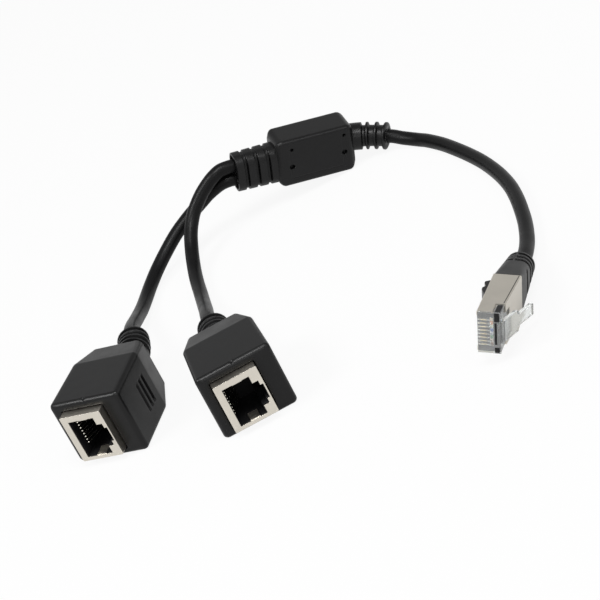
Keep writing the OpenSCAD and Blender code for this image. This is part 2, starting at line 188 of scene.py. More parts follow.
OVERMOULD = Finish("overmould", "overmould_black", (0.005, 0.005, 0.0052), 0.35, specular=0.24,
                   grain_scale=4200.0, grain_height=0.000012)
JACKET = Finish("round_jacket", "cable_jacket", (0.005, 0.005, 0.0052), 0.36, specular=0.13,
                grain=Grain.EXTRUDED, grain_scale=3200.0, grain_height=0.000010)
NICKEL = Finish("nickel_sheet", "shield_nickel", (0.68, 0.64, 0.565), 0.32, metallic=1.0, tone=0.04,
                rough_swing=0.05, grain=Grain.ROLLED, grain_scale=2600.0, grain_height=0.000001)
CLEAR = Finish("clear_moulding", "clear_plastic", (0.93, 0.95, 0.94), 0.1, tone=0.02, rough_swing=0.03,
               grain=Grain.PLAIN, clear=0.85)
INSERT = Finish("black_insert", "insert_black", (0.008, 0.008, 0.0085), 0.4, specular=0.15,
                grain_scale=6000.0, grain_height=0.000006)
GOLD = Finish("gold_plating", "contact_gold", (0.88, 0.70, 0.42), 0.24, metallic=1.0, tone=0.06,
              rough_swing=0.05, grain=Grain.ROLLED, grain_scale=9000.0, grain_height=0.000002)
# painted shade: a near-black strip that stands for the shadow in the shield's seam
SEAM_SHADE = Finish("seam_painted_shade", "shield_nickel", (0.012, 0.011, 0.01), 0.5, grain=Grain.PLAIN)
SPRING = Finish("spring_gold", "contact_gold", (0.95, 0.9, 0.8), 0.16, metallic=1.0, grain=Grain.PLAIN)
CORES = (
    Finish("core_1", "core_white_orange", (0.86, 0.66, 0.46), 0.4, tone=0.18),
    Finish("core_2", "core_orange", (0.84, 0.30, 0.04), 0.4, tone=0.08),
    Finish("core_3", "core_white_green", (0.76, 0.84, 0.68), 0.4, tone=0.14),
    Finish("core_4", "core_blue", (0.07, 0.16, 0.55), 0.4, tone=0.08),
    Finish("core_5", "core_white_blue", (0.74, 0.79, 0.88), 0.4, tone=0.12),
    Finish("core_6", "core_green", (0.07, 0.36, 0.13), 0.4, tone=0.08),
    Finish("core_7", "core_white_brown", (0.78, 0.68, 0.56), 0.4, tone=0.16),
    Finish("core_8", "core_brown", (0.25, 0.12, 0.05), 0.4, tone=0.08),
)


# Surfaces

def smooth(x: np.ndarray) -> np.ndarray:
    """Smooth step: 3x^2 - 2x^3 on 0 to 1, level outside.

    Args:
        x: Where to evaluate.

    Returns:
        Values from 0 to 1.
    """
    t = np.clip(x, 0.0, 1.0)
    return t * t * (3.0 - 2.0 * t)


def band(x: np.ndarray, low: float, high: float, edge: float) -> np.ndarray:
    """One inside low to high and nought outside, each flank a smooth step of width edge.

    Args:
        x: Where to evaluate.
        low: Start of the lower flank.
        high: End of the upper flank.
        edge: Width of a flank.

    Returns:
        Values from 0 to 1.
    """
    return smooth((x - low) / edge) * smooth((high - x) / edge)


def arc_steps(radius: float, count: int = 5) -> tuple[np.ndarray, np.ndarray]:
    """Quarter round: how far in, and how far along, at each of its steps.

    In is r(1 - sin a) and along is r(1 - cos a), with a from 0 to 90 degrees.

    Args:
        radius: Radius of the round.
        count: Steps.

    Returns:
        Insets from the full outline, and distances along, from the end face on.
    """
    a = np.linspace(0.0, math.pi / 2, count)
    return radius * (1.0 - np.sin(a)), radius * (1.0 - np.cos(a))


@dataclass(frozen=True)
class Pose:
    """Where a sub-assembly lies: turned about X, then Y, then Z, and set down."""

    at: Vec
    turn: Vec = (0.0, 0.0, 0.0)

    def matrix(self) -> np.ndarray:
        """Rotation matrix Rz Ry Rx.

        Returns:
            A 3 by 3 array.
        """
        x, y, z = (math.radians(a) for a in self.turn)
        turned = Matrix.Rotation(z, 3, "Z") @ Matrix.Rotation(y, 3, "Y") @ Matrix.Rotation(x, 3, "X")
        return np.array(turned)

    def world(self, points: np.ndarray) -> np.ndarray:
        """Carries local millimetres to world metres.

        Args:
            points: Array whose last axis is x, y, z.

        Returns:
            An array of the same shape.
        """
        return (points @ self.matrix().T + np.array(self.at)) * MM


@dataclass(frozen=True)
class RingPattern:
    """Point pattern of a round-cornered rectangle, the same for every ring of a loft.

    A point is (f(w/2 - r) + d r), with f the place between the corner centres and d the outward direction:
    corner points have f = +-1 and d on the unit circle, side points have d square to the side. Along the
    width, f = +-|t|^gather draws the points towards the middle of the side.
    """

    corner: int = 8
    side_x: int = 8
    side_z: int = 8
    gather: float = 1.0

    def table(self) -> np.ndarray:
        """Works out fx, fz, dx and dz of each point, anticlockwise from the right side's lower end.

        Returns:
            A 4 by m array.
        """
        parts: list[np.ndarray] = []
        spans = ((0.0, (1, 1), self.side_z), (90.0, (-1, 1), self.side_x),
                 (180.0, (-1, -1), self.side_z), (270.0, (1, -1), self.side_x))
        for start, (sx, sz), steps in spans:
            t = np.linspace(-1.0, 1.0, steps + 2)[1:-1]
            if start in (90.0, 270.0):
                t = np.sign(t) * np.abs(t) ** self.gather
            out = (math.cos(math.radians(start)), math.sin(math.radians(start)))
            if abs(out[0]) > 0.5:
                fx, fz = np.full_like(t, out[0]), t * out[0]
            else:
                fx, fz = -t * out[1], np.full_like(t, out[1])
            parts.append(np.stack([fx, fz, np.full_like(t, round(out[0])), np.full_like(t, round(out[1]))]))
            a = np.radians(np.linspace(start, start + 90.0, self.corner))
            one = np.ones_like(a)
            parts.append(np.stack([sx * one, sz * one, np.cos(a), np.sin(a)]))
        return np.concatenate(parts, axis=1)

    def rings(self, width: np.ndarray, height: np.ndarray, radius: np.ndarray) -> tuple[np.ndarray, np.ndarray]:
        """Outlines of n rings at once, each corner radius kept just under half of the smaller size.

        Args:
            width: Width of each ring.
            height: Height of each ring.
            radius: Corner radius of each ring.

        Returns:
            The x and the z of each point, as n by m arrays.
        """
        fx, fz, dx, dz = self.table()
        r = np.minimum(radius, np.minimum(width, height) / 2.0 - 1e-4)[:, None]
        x = fx * (width[:, None] / 2.0 - r) + dx * r
        z = fz * (height[:, None] / 2.0 - r) + dz * r
        return x, z


@dataclass
class Profile:
    """Stations of a loft: where each ring lies along its run, and its outline there."""

    s: list[float] = field(default_factory=list)
    width: list[float] = field(default_factory=list)
    height: list[float] = field(default_factory=list)
    radius: list[float] = field(default_factory=list)
    x: list[float] = field(default_factory=list)
    z: list[float] = field(default_factory=list)

    def add(self, s: np.ndarray | float, width: np.ndarray | float, height: np.ndarray | float,
            radius: np.ndarray | float, x: float = 0.0, z: float = 0.0) -> None:
        """Appends rings.

        Args:
            s: Places along the run.
            width: Widths there.
            height: Heights there.
            radius: Corner radii there.
            x: Shift of the outline across.
            z: Shift of the outline up.
        """
        rows = np.broadcast_arrays(*(np.atleast_1d(v) for v in (s, width, height, radius, x, z)))
        for store, row in zip((self.s, self.width, self.height, self.radius, self.x, self.z), rows):
            store.extend(row.tolist())

    def arrays(self) -> tuple[np.ndarray, ...]:
        """All stations as arrays.

        Returns:
            Places, widths, heights, radii and the two shifts.
        """
        return tuple(np.array(v) for v in (self.s, self.width, self.height, self.radius, self.x, self.z))


@dataclass(frozen=True)
class Spine:
    """A run along +Y that is straight up to s = start, and then bends in a circle towards -X."""

    start: float = 0.0
    run: float = 1.0
    bend: float = 0.0

    def carry(self, s: np.ndarray, x: np.ndarray, z: np.ndarray) -> np.ndarray:
        """Puts outlines across the spine.

        Past the start the spine is (-R(1 - cos a), R sin a) with a = (s - start) / R and R = run / bend.

        Args:
            s: Place of each ring along the spine.
            x: Across each ring, n by m.
            z: Up each ring, n by m.

        Returns:
            An n by m by 3 array.
        """
        a = np.clip(s - self.start, 0.0, None) / self.run * math.radians(self.bend)
        if self.bend:
            big = self.run / math.radians(self.bend)
            px, py = -big * (1.0 - np.cos(a)), np.minimum(s, self.start) + big * np.sin(a)
        else:
            px, py = np.zeros_like(s), s
        return np.stack([px[:, None] + x * np.cos(a)[:, None], py[:, None] + x * np.sin(a)[:, None],
                         z + 0.0 * x], axis=-1)


def grid_faces(rows: int, cols: int) -> np.ndarray:
    """Quads of a grid that closes round its columns.

    Args:
        rows: Rings.
        cols: Points in a ring.

    Returns:
        A k by 4 array of point numbers.
    """
    i, j = np.meshgrid(np.arange(rows - 1), np.arange(cols), indexing="ij")
    k = (j + 1) % cols
    return np.stack([i * cols + j, i * cols + k, (i + 1) * cols + k, (i + 1) * cols + j], axis=-1).reshape(-1, 4)


def linked(name: str, data: bpy.types.ID) -> bpy.types.Object:
    """Makes an object of a data block and puts it in the scene.

    Args:
        name: Name of the new object.
        data: Its mesh, camera or lamp.

    Returns:
        The new object.
    """
    obj = bpy.data.objects.new(name, data)
    bpy.context.scene.collection.objects.link(obj)
    return obj


def skin(name: str, points: np.ndarray, crease: float = 40.0) -> bpy.types.Object:
    """Makes a closed mesh of a loft: its rings joined by quads, and a fan to the middle of each end ring.

    Args:
        name: Name of the new object.
        points: Rings in world metres, n by m by 3.
        crease: Edges sharper than this many degrees stay sharp.

    Returns:
        The new object.
    """
    rows, cols, _ = points.shape
    flat = np.concatenate([points.reshape(-1, 3), points[0].mean(0)[None], points[-1].mean(0)[None]])
    j = np.arange(cols)
    k = (j + 1) % cols
    base = (rows - 1) * cols
    fan0 = np.stack([np.full(cols, rows * cols), k, j], axis=-1)
    fan1 = np.stack([np.full(cols, rows * cols + 1), base + j, base + k], axis=-1)
    faces = grid_faces(rows, cols).tolist() + fan0.tolist() + fan1.tolist()
    mesh = bpy.data.meshes.new(name)
    mesh.from_pydata(flat.tolist(), [], faces)
    work = bmesh.new()
    work.from_mesh(mesh)
    bmesh.ops.remove_doubles(work, verts=work.verts, dist=WELD)
    bmesh.ops.dissolve_degenerate(work, edges=work.edges, dist=SLIVER)
    bmesh.ops.recalc_face_normals(work, faces=work.faces)
    work.to_mesh(mesh)
    work.free()
    shade(mesh, crease)
    return linked(name, mesh)


def tube(line: np.ndarray, radius: float, sides: int) -> np.ndarray:
    """Carries a circle along a path.

    Each ring is p + r(cos a u + sin a v), with u level, v square to both u and the path, and the path's
    heading at p the mean of the headings before and after it.

    Args:
        line: Points of the path.
        radius: Radius of the circle.
        sides: Points of a ring.

    Returns:
        Rings, n by sides by 3.
    """
    runs = np.diff(line, axis=0)
    runs /= np.linalg.norm(runs, axis=1)[:, None]
    heading = np.concatenate([runs[:1], runs[:-1] + runs[1:], runs[-1:]])
    heading /= np.linalg.norm(heading, axis=1)[:, None]
    u = np.cross(heading, np.array([0.0, 0.0, 1.0]))
    u /= np.linalg.norm(u, axis=1)[:, None]
    v = np.cross(u, heading)
    a = np.linspace(0.0, 2.0 * math.pi, sides, endpoint=False)[None, :, None]
    return line[:, None] + radius * (np.cos(a) * u[:, None] + np.sin(a) * v[:, None])


def rounded(corners: np.ndarray, cut: float, steps: int = 7) -> np.ndarray:
    """Rounds the inner corners of a path of straight runs.

    A corner c becomes the curve (1 - t)^2 a + 2t(1 - t) c + t^2 b, with a and b the points that lie cut
    before and after it.

    Args:
        corners: Points of the path.
        cut: How far from a corner its curve starts and ends.
        steps: Points of a curve.

    Returns:
        Points of the rounded path.
    """
    c = corners[1:-1]
    before, after = corners[:-2] - c, corners[2:] - c
    a = c + cut * before / np.linalg.norm(before, axis=1)[:, None]
    b = c + cut * after / np.linalg.norm(after, axis=1)[:, None]
    t = np.linspace(0.0, 1.0, steps)[None, :, None]
    bends = (1 - t)**2 * a[:, None] + 2 * t * (1 - t) * c[:, None] + t**2 * b[:, None]
    return np.concatenate([corners[:1], bends.reshape(-1, 3), corners[-1:]])


def shade(mesh: bpy.types.Mesh, crease: float) -> None:
    """Shades a mesh smooth, and keeps its sharp edges sharp.

    Args:
        mesh: The mesh.
        crease: Angle in degrees past which an edge is sharp.
    """
    mesh.polygons.foreach_set("use_smooth", np.ones(len(mesh.polygons), dtype=bool))
    mesh.set_sharp_from_angle(angle=math.radians(crease))


def softened(node: str, finish: Finish, bevel: float, segments: int = 2) -> None:
    """Makes a piece from a copy of a node's own mesh, with its hard edges rounded.

    Args:
        node: The node that the piece stands for.
        finish: Its finish.
        bevel: Width of the rounding in millimetres.
        segments: Steps of the rounding.
    """
    mesh = bpy.data.objects[node].data.copy()
    work = bmesh.new()
    work.from_mesh(mesh)
    bmesh.ops.remove_doubles(work, verts=work.verts, dist=WELD)
    bmesh.ops.dissolve_limit(work, angle_limit=math.radians(FLAT), verts=work.verts, edges=work.edges)
    work.to_mesh(mesh)
    work.free()
    shade(mesh, HARD_EDGE)
    obj = linked(node + "_piece", mesh)
    rounding = obj.modifiers.new("edge", "BEVEL")
    rounding.width = bevel * MM
    rounding.segments = segments
    rounding.limit_method = "ANGLE"
    rounding.angle_limit = math.radians(HARD_EDGE)
    rounding.use_clamp_overlap = True
    rounding.harden_normals = True
    settle(obj, finish, node)


def settle(obj: bpy.types.Object, finish: Finish, *nodes: str) -> None:
    """Dresses a piece, lets it ride on the part and stand for its nodes.

    Args:
        obj: The piece.
        finish: Its finish.
        nodes: The nodes that it stands for.
    """
    obj.data.materials.clear()
    obj.data.materials.append(finish.material())
    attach(obj, "root")
    if nodes:
        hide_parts(*nodes)
    LOG.info("%s: %s, %d faces", obj.name, finish.name, len(obj.data.polygons))


def dress(node: str, finish: Finish) -> None:
    """Gives a node its material.

    Args:
        node: Name of the node.
        finish: Its finish.
    """
    obj = bpy.data.objects[node]
    obj.data.materials.clear()
    obj.data.materials.append(finish.material())
    LOG.info("%s: %s", node, finish.name)


# Camera and studio

@dataclass
class Camera:
    """The photograph's viewpoint: a long lens, looking down at 28 degrees and turned about its own axis.

    The three directions are the camera's own axes in the part's frame.
    """

    lens: float = 132.0
    sensor: float = 36.0
    nearest: float = 0.01
    place: Vec = (0.1278, -0.5481, 0.2984)
    across: Vec = (0.9157, -0.0019, -0.4018)
    up: Vec = (0.3457, 0.5132, 0.7856)
    back: Vec = (0.2047, -0.8583, 0.4706)

    def build(self) -> None:
        """Makes the camera and sets it as the scene's own."""
        data = bpy.data.cameras.new("camera")
        data.lens = self.lens
        data.sensor_width = self.sensor
        data.clip_start = self.nearest
        obj = linked("camera", data)
        turned = Matrix((self.across, self.up, self.back)).transposed()
        obj.matrix_world = Matrix.Translation(self.place) @ turned.to_4x4()
        bpy.context.scene.camera = obj


@dataclass(frozen=True)
class Lamp:
    """A square soft lamp: its place and target, the length of its side in metres and its power in watts."""

    name: str
    place: Vec
    size: float
    power: float
    target: Vec = (0.0, 0.0, 0.0)

    def build(self) -> None:
        """Hangs the lamp with its face towards its target."""
        data = bpy.data.lights.new(self.name, "AREA")
        data.shape = "SQUARE"
        data.size = self.size
        data.energy = self.power
        away = Vector(self.place) - Vector(self.target)
        turned = away.to_track_quat("Z", "Y").to_matrix()
        linked(self.name, data).matrix_world = Matrix.Translation(self.place) @ turned.to_4x4()


@dataclass
class Studio:
    """A pale table, a white surround and soft lamps.

    The camera sees lift of the floor as plain white and the rest as lit, and reflections see gloss_share of
    that white. In the surround they see horizon_share of it low down and overhead_share high up, with an even
    change between the two heights of rise on a unit sphere. As a light, the surround has the strength ambient.
    """

    floor_size: float = 6.0
    floor_colour: Vec = (0.58, 0.58, 0.58)
    lift: float = 0.91
    gloss_share: float = 0.5
    horizon_share: float = 0.8
    overhead_share: float = 0.03
    rise: tuple[float, float] = (0.1, 0.6)
    ambient: float = 0.34
    lamps: tuple[Lamp, ...] = (
        Lamp("key", (0.12, -0.3, 0.93), 0.34, 6.0),
        Lamp("left", (-0.55, -0.33, 0.77), 0.34, 6.0),
        Lamp("right", (0.62, -0.43, 0.65), 0.26, 1.2),
        Lamp("front", (0.18, -0.9, 0.55), 0.3, 1.0, (0.0, 0.0, 0.01)),
    )

    def build(self) -> None:
        """Makes the floor, the surround and the lamps."""
        self._floor()
        self._surround()
        for lamp in self.lamps:
            lamp.build()

    def _floor(self) -> None:
        """Makes the table top as one flat square, whose colour shows nearly white to the camera."""
        half = self.floor_size / 2.0
        mesh = bpy.data.meshes.new("table_top")
        mesh.from_pydata([(-half, -half, 0.0), (half, -half, 0.0), (half, half, 0.0), (-half, half, 0.0)], [],
                         [(0, 1, 2, 3)])
        linked("table_top", mesh)
        mat = bpy.data.materials.new("table_top")
        mat.use_nodes = True
        tree = mat.node_tree
        tree.nodes.clear()
        out = tree.nodes.new("ShaderNodeOutputMaterial")
        lit = tree.nodes.new("ShaderNodeBsdfDiffuse")
        lit.inputs["Color"].default_value = (*self.floor_colour, 1.0)
        glow = tree.nodes.new("ShaderNodeEmission")
        glow.inputs["Color"].default_value = WHITE
        ray = tree.nodes.new("ShaderNodeLightPath")
        share = tree.nodes.new("ShaderNodeMath")
        share.operation = "MULTIPLY"
        share.inputs[1].default_value = self.lift
        mix = tree.nodes.new("ShaderNodeMixShader")
        tree.links.new(self._seen(tree, ray), share.inputs[0])
        tree.links.new(share.outputs[0], mix.inputs["Fac"])
        tree.links.new(lit.outputs[0], mix.inputs[1])
        tree.links.new(glow.outputs[0], mix.inputs[2])
        tree.links.new(mix.outputs[0], out.inputs["Surface"])
        mesh.materials.append(mat)

    def _seen(self, tree: bpy.types.NodeTree, ray: bpy.types.Node,
              share: bpy.types.NodeSocket | None = None) -> bpy.types.NodeSocket:
        """One for camera and transmission rays, a share of it for glossy rays, nought for others.

        Args:
            tree: The node tree.
            ray: Its Light Path node.
            share: The share for glossy rays, where it isn't the same everywhere.

        Returns:
            The socket that holds it.
        """
        shine = tree.nodes.new("ShaderNodeMath")
        shine.operation = "MULTIPLY"
        shine.inputs[1].default_value = self.gloss_share
        if share is not None:
            tree.links.new(share, shine.inputs[1])
        tree.links.new(ray.outputs["Is Glossy Ray"], shine.inputs[0])
        seen = ray.outputs["Is Camera Ray"]
        for other in (ray.outputs["Is Transmission Ray"], shine.outputs[0]):
            either = tree.nodes.new("ShaderNodeMath")
            either.operation = "MAXIMUM"
            tree.links.new(seen, either.inputs[0])
            tree.links.new(other, either.inputs[1])
            seen = either.outputs[0]
        return seen

    def _surround(self) -> None:
        """Makes the world: white to the camera, through clear plastic and in reflections, dimmer as a light.

        Reflections see it whitest at the table's edge and dimmer overhead, as in a room above a white table.
        """
        world = bpy.data.worlds.new("surround")
        bpy.context.scene.world = world
        world.use_nodes = True
        tree = world.node_tree
        tree.nodes.clear()
        out = tree.nodes.new("ShaderNodeOutputWorld")
        light = tree.nodes.new("ShaderNodeBackground")
        light.inputs["Color"].default_value = WHITE
        light.inputs["Strength"].default_value = self.ambient
        white = tree.nodes.new("ShaderNodeBackground")
        white.inputs["Color"].default_value = WHITE
        white.inputs["Strength"].default_value = 1.0
        coord = tree.nodes.new("ShaderNodeTexCoord")
        parts = tree.nodes.new("ShaderNodeSeparateXYZ")
        rise = tree.nodes.new("ShaderNodeMapRange")
        rise.inputs["From Min"].default_value, rise.inputs["From Max"].default_value = self.rise
        rise.inputs["To Min"].default_value = self.horizon_share
        rise.inputs["To Max"].default_value = self.overhead_share
        tree.links.new(coord.outputs["Generated"], parts.inputs[0])
        tree.links.new(parts.outputs["Z"], rise.inputs["Value"])
        ray = tree.nodes.new("ShaderNodeLightPath")
        mix = tree.nodes.new("ShaderNodeMixShader")
        tree.links.new(self._seen(tree, ray, rise.outputs["Result"]), mix.inputs["Fac"])
        tree.links.new(light.outputs[0], mix.inputs[1])
        tree.links.new(white.outputs[0], mix.inputs[2])
        tree.links.new(mix.outputs[0], out.inputs["Surface"])


# Cables

@dataclass
class Cable:
    """One cable: a round jacket carried along a smooth curve through its route's points."""

    node: str
    route: tuple[Vec, ...]
    diameter: float = 4.3
    sides: int = 32
    steps: int = 7

    def centre_line(self) -> np.ndarray:
        """Smooth curve through the route's points.

        Between points p1 and p2 it is the cubic h00 p1 + h10 m1 + h01 p2 + h11 m2, with each slope m half
        the step between the neighbours, and the end slopes straight along the first and last steps.

        Returns:
            Points in millimetres.
        """
        p = np.array(self.route)
        m = np.empty_like(p)
        m[1:-1] = (p[2:] - p[:-2]) / 2.0
        m[0], m[-1] = p[1] - p[0], p[-1] - p[-2]
        t = np.linspace(0.0, 1.0, self.steps, endpoint=False)[None, :, None]
        h00, h10 = 2 * t**3 - 3 * t**2 + 1, t**3 - 2 * t**2 + t
        h01, h11 = -2 * t**3 + 3 * t**2, t**3 - t**2
        seg = h00 * p[:-1, None] + h10 * m[:-1, None] + h01 * p[1:, None] + h11 * m[1:, None]
        return np.concatenate([seg.reshape(-1, 3), p[-1:]])

    def build(self) -> None:
        line = self.centre_line()
        obj = skin(self.node + "_jacket", tube(line, self.diameter / 2.0, self.sides) * MM)
        settle(obj, JACKET, self.node)


CABLES = (
    Cable("cable_trunk", (
        (30.2, 67, 4.7), (32, 66.3, 4.1), (34.3, 65.1, 3.2), (36.8, 63.5, 2.6), (39.5, 61.4, 2.2),
        (42.2, 58.6, 2.2), (46.7, 52.6, 2.2), (50.7, 46.1, 2.2), (54.4, 39.5, 2.2), (57.8, 32.7, 2.2),
        (60.7, 25.7, 2.2), (63.1, 18.7, 2.2), (65, 11.3, 2.2), (66.2, 3.7, 2.2), (66.9, -3.9, 2.2),
        (67.3, -11.5, 2.2), (67.2, -18.9, 2.3), (66.8, -24.9, 2.7), (66.1, -30.1, 3.3), (65.1, -34.5, 3.9),
        (64.6, -36.3, 4.2))),
    Cable("cable_branch_right", (
        (-15.9, 56.4, 19.5), (-17.7, 55.7, 20), (-19.9, 54.9, 20.3), (-22.2, 53.9, 19.8), (-24.7, 53.1, 18.6),
        (-27.5, 51.9, 16.9), (-29.8, 50.5, 15.1), (-32, 49, 13), (-33.6, 46.9, 10.9), (-34.8, 43.9, 8.7),
        (-35.7, 38.7, 5.5), (-35.7, 32.2, 3.2), (-34.9, 25.5, 2.3), (-33.6, 18.7, 2.2), (-32.2, 12, 2.9),
        (-30.7, 5.5, 4.3), (-29.1, -1, 6.2), (-27.7, -7.1, 8.1), (-26.3, -13, 9.7), (-24.9, -17.5, 10.2),
        (-24.3, -19.4, 10.2))),
    Cable("cable_branch_left", (
        (-17.3, 56.6, 15.1), (-19.1, 55.9, 15.7), (-21.5, 55.7, 15.7), (-24, 55.8, 15), (-26.9, 55.5, 14),
        (-29.7, 55, 12.7), (-35.1, 52.5, 10.6), (-40.2, 49, 8.4), (-44.8, 44.8, 5.8), (-48.4, 39.7, 3.8),
        (-50.9, 33.8, 2.5), (-52.2, 27.4, 2.2), (-52.8, 20.9, 2.8), (-53, 14.5, 4.2), (-52.7, 8.2, 6.1),
        (-52.2, 2, 8.2), (-51.5, -3.5, 9.7), (-50.6, -7.6, 10.2), (-50.1, -9.5, 10.2))),
)


# Jacks

@dataclass(frozen=True)
class SpringWire:
    """A jack's sprung contact wire: a leg in its groove, a turn behind the plate and a slope back inside."""

    leg_x: float = -6.2
    front: float = 0.7
    run: float = 9.0
    reach: float = 0.7
    slope: float = 22.0
    short: float = 2.0
    diameter: float = 0.46
    sides: int = 12
    turn: float = 0.33

    def points(self, z: float) -> np.ndarray:
        """Works out the wire in its jack's own frame: a circle carried along three runs with rounded turns.

        Args:
            z: Height of the wire.

        Returns:
            Rings, n by m by 3.
        """
        a = math.radians(self.slope)
        back = self.run / math.cos(a) - self.short
        x = self.leg_x + self.reach
        corners = np.array([(self.leg_x, self.front + self.run, z), (self.leg_x, self.front, z), (x, self.front, z),
                            (x + back * math.sin(a), self.front + back * math.cos(a), z)])
        return tube(rounded(corners, self.turn), self.diameter / 2.0, self.sides)


@dataclass
class Jack:
    """One jack, lying on its side: overmould with its relief, shield, insert and contact wires.

    The straight part narrows from width to crease_width, and the taper draws in to the end sizes. The relief
    has a root, which starts relief_sunk inside the taper, and equal ribs with grooves between them. Each grip
    groove is as wide as the land beside it. Bend is the angle in degrees through which the relief turns.
    """

    side: str
    pose: Pose
    bend: float
    width: float = 22.2
    crease_width: float = 21.2
    height: float = 20.3
    length: float = 18.7
    taper: float = 8.7
    end_width: float = 16.6
    end_height: float = 17.1
    corner: float = 1.3
    corner_gain: float = 0.4
    bevel: float = 1.4
    crease: float = 0.35
    crease_draw: float = 0.12
    end_round: float = 0.6
    notch_depth: float = 0.55
    notch_run: float = 1.3
    port_size: tuple[float, float] = (12.9, 15.4)
    port_at: tuple[float, float] = (-1.3, -0.25)
    port_gap: float = 0.28
    pocket_depth: float = 14.35
    pocket_corner: float = 0.5
    pocket_round: float = 0.2
    rib: float = 9.4
    groove: float = 0.95
    flank: float = 0.3
    relief_sunk: float = 1.0
    relief_root: float = 6.0
    relief_run: float = 14.5
    relief_rim: float = 5.4
    fillet: float = 0.5
    fillet_run: float = 0.25
    rib_length: float = 1.2
    ribs: int = 4
    grips: int = 3
    grip_start: float = 3.0
    grip_width: float = 1.1
    grip_depth: float = 0.8
    grip_length: float = 9.2
    wire_pitch: float = 1.02
    wire_middle: float = -0.6

    def build(self) -> None:
        """Builds and dresses every piece of the jack."""
        self._overmould()
        softened("jack_%s_shield" % self.side, NICKEL, bevel=0.09)
        softened("jack_%s_insert" % self.side, INSERT, bevel=0.06, segments=1)
        wire = SpringWire()
        for i in range(1, 9):
            node = "jack_%s_contact_%d" % (self.side, i)
            points = wire.points(self.wire_middle + (4.5 - i) * self.wire_pitch)
            settle(skin(node + "_wire", self.pose.world(points)), SPRING, node)

    def _relief_radius(self, s: np.ndarray) -> np.ndarray:
        """Radius of the relief: core, plus a band for the root and for each rib.

        Args:
            s: Distance from the relief's root.

        Returns:
            Radii.
        """
        root = self.relief_root - self.relief_sunk
        step = (self.relief_run - root - self.rib_length) / self.ribs
        rise = band(s, -self.relief_sunk, self.relief_root, self.flank)
        for i in range(1, self.ribs + 1):
            start = root + i * step
            rise = np.maximum(rise, band(s, start, start + self.rib_length, self.flank))
        return self.rib / 2.0 - self.groove * (1.0 - rise)

    def _width_at(self, s: np.ndarray) -> np.ndarray:
        """Width of the straight part, which narrows evenly towards the taper."""
        return self.width + (self.crease_width - self.width) * s / self.length

    def _add_pocket(self, prof: Profile) -> None:
        """Adds the pocket round the port, from its floor to its rounded mouth.

        Args:
            prof: The profile that grows.
        """
        width, height = (size + 2 * self.port_gap for size in self.port_size)
        prof.add(np.array([self.pocket_depth, self.pocket_round]), width, height, self.pocket_corner, *self.port_at)
        ins, along = (v[::-1] for v in arc_steps(self.pocket_round, 4))
        prof.add(along, width + 2 * ins, height + 2 * ins, self.pocket_corner + ins, *self.port_at)

    def _add_shell(self, prof: Profile) -> None:
        """Adds the rounded front rim, the straight part, the soft crease, and the taper with its rounded end.

        Args:
            prof: The profile that grows.
        """
        ins, along = arc_steps(self.bevel, 9)
        prof.add(along, self._width_at(along) - 2 * ins, self.height - 2 * ins, self.corner)
        run = np.linspace(self.bevel + 0.12, self.length - self.crease, 132)
        prof.add(run, self._width_at(run), self.height, self.corner)
        t = np.linspace(0.0, 1.0, 8)[1:]
        draw = self.crease_draw * t**2
        prof.add(self.length - self.crease + 2 * self.crease * t, self.crease_width - 2 * draw,
                 self.height - draw, self.corner)
        t = np.linspace(0.06, 1.0, 24)
        prof.add(self.length + (self.taper - self.end_round) * t,
                 self.crease_width + (self.end_width - self.crease_width) * t,
                 self.height + (self.end_height - self.height) * t, self.corner + self.corner_gain * t)
        ins, along = (v[::-1] for v in arc_steps(self.end_round, 5))
        prof.add(self.length + self.taper - along, self.end_width - 2 * ins, self.end_height - 2 * ins,
                 self.corner + self.corner_gain)

    def _add_relief(self, prof: Profile) -> None:
        """Adds the ribbed relief with a fillet at its root, and closes its end round the cable.

        Args:
            prof: The profile that grows.
        """
        end = self.length + self.taper
        s = np.linspace(0.0, self.relief_run, 125)
        r = self._relief_radius(s) + self.fillet * np.exp(-s / self.fillet_run)
        prof.add(end + s, 2 * r, 2 * r, r)
        prof.add(end + self.relief_run, self.relief_rim, self.relief_rim, self.relief_rim / 2.0)
        prof.add(end + self.relief_run - HOLE_TUCK, CABLE_HOLE, CABLE_HOLE, CABLE_HOLE / 2.0)

    def _overmould(self) -> None:
        """Lofts the overmould from the pocket's floor, round its front rim and back to the relief's end."""
        prof = Profile()
        self._add_pocket(prof)
        inner = len(prof.s)
        self._add_shell(prof)
        self._add_relief(prof)
        s, width, height, radius, cx, cz = prof.arrays()
        x, z = RingPattern(corner=8, side_x=31, side_z=46, gather=1.6).rings(width, height, radius)
        x, z = x + cx[:, None], z + cz[:, None]
        outer = (np.arange(len(s)) >= inner)[:, None]
        z = np.where(outer & (s < self.notch_run)[:, None], np.minimum(z, self._notch(x)), z)
        x = x - np.where(outer, self._grips(s[:, None], x, z), 0.0)
        points = Spine(self.length + self.taper, self.relief_run, self.bend).carry(s, x, z)
        settle(skin("jack_%s_overmould" % self.side, self.pose.world(points), crease=50.0), OVERMOULD,
               "jack_%s_housing" % self.side)

    def _notch(self, x: np.ndarray) -> np.ndarray:
        """Height that the small V in the front's upper edge leaves: lowest in the middle, rising at 45 degrees.

        Args:
            x: Across the jack.

        Returns:
            The highest z there.
        """
        return self.height / 2.0 - self.notch_depth + np.abs(x)

    def _grips(self, s: np.ndarray, x: np.ndarray, z: np.ndarray) -> np.ndarray:
        """Depth of the grip grooves: a band along the jack times a band up it, on the latch side only.

        Args:
            s: Place along the jack.
            x: Across it.
            z: Up it.

        Returns:
            How far each point is pushed in.
        """
        depth = np.zeros_like(x)
        for i in range(self.grips):
            low = self.length - self.grip_start - self.grip_width * (1 + 2 * i)
            depth = np.maximum(depth, band(s, low - 0.1, low + self.grip_width + 0.1, self.flank))
        on_side = (x > self._width_at(s) / 2.0 - NEAR_SIDE) & (s > self.bevel) & (s < self.length)
        half = self.grip_length / 2.0
        return np.where(on_side, self.grip_depth * depth * band(z, -half, half, 0.4), 0.0)


# Y block

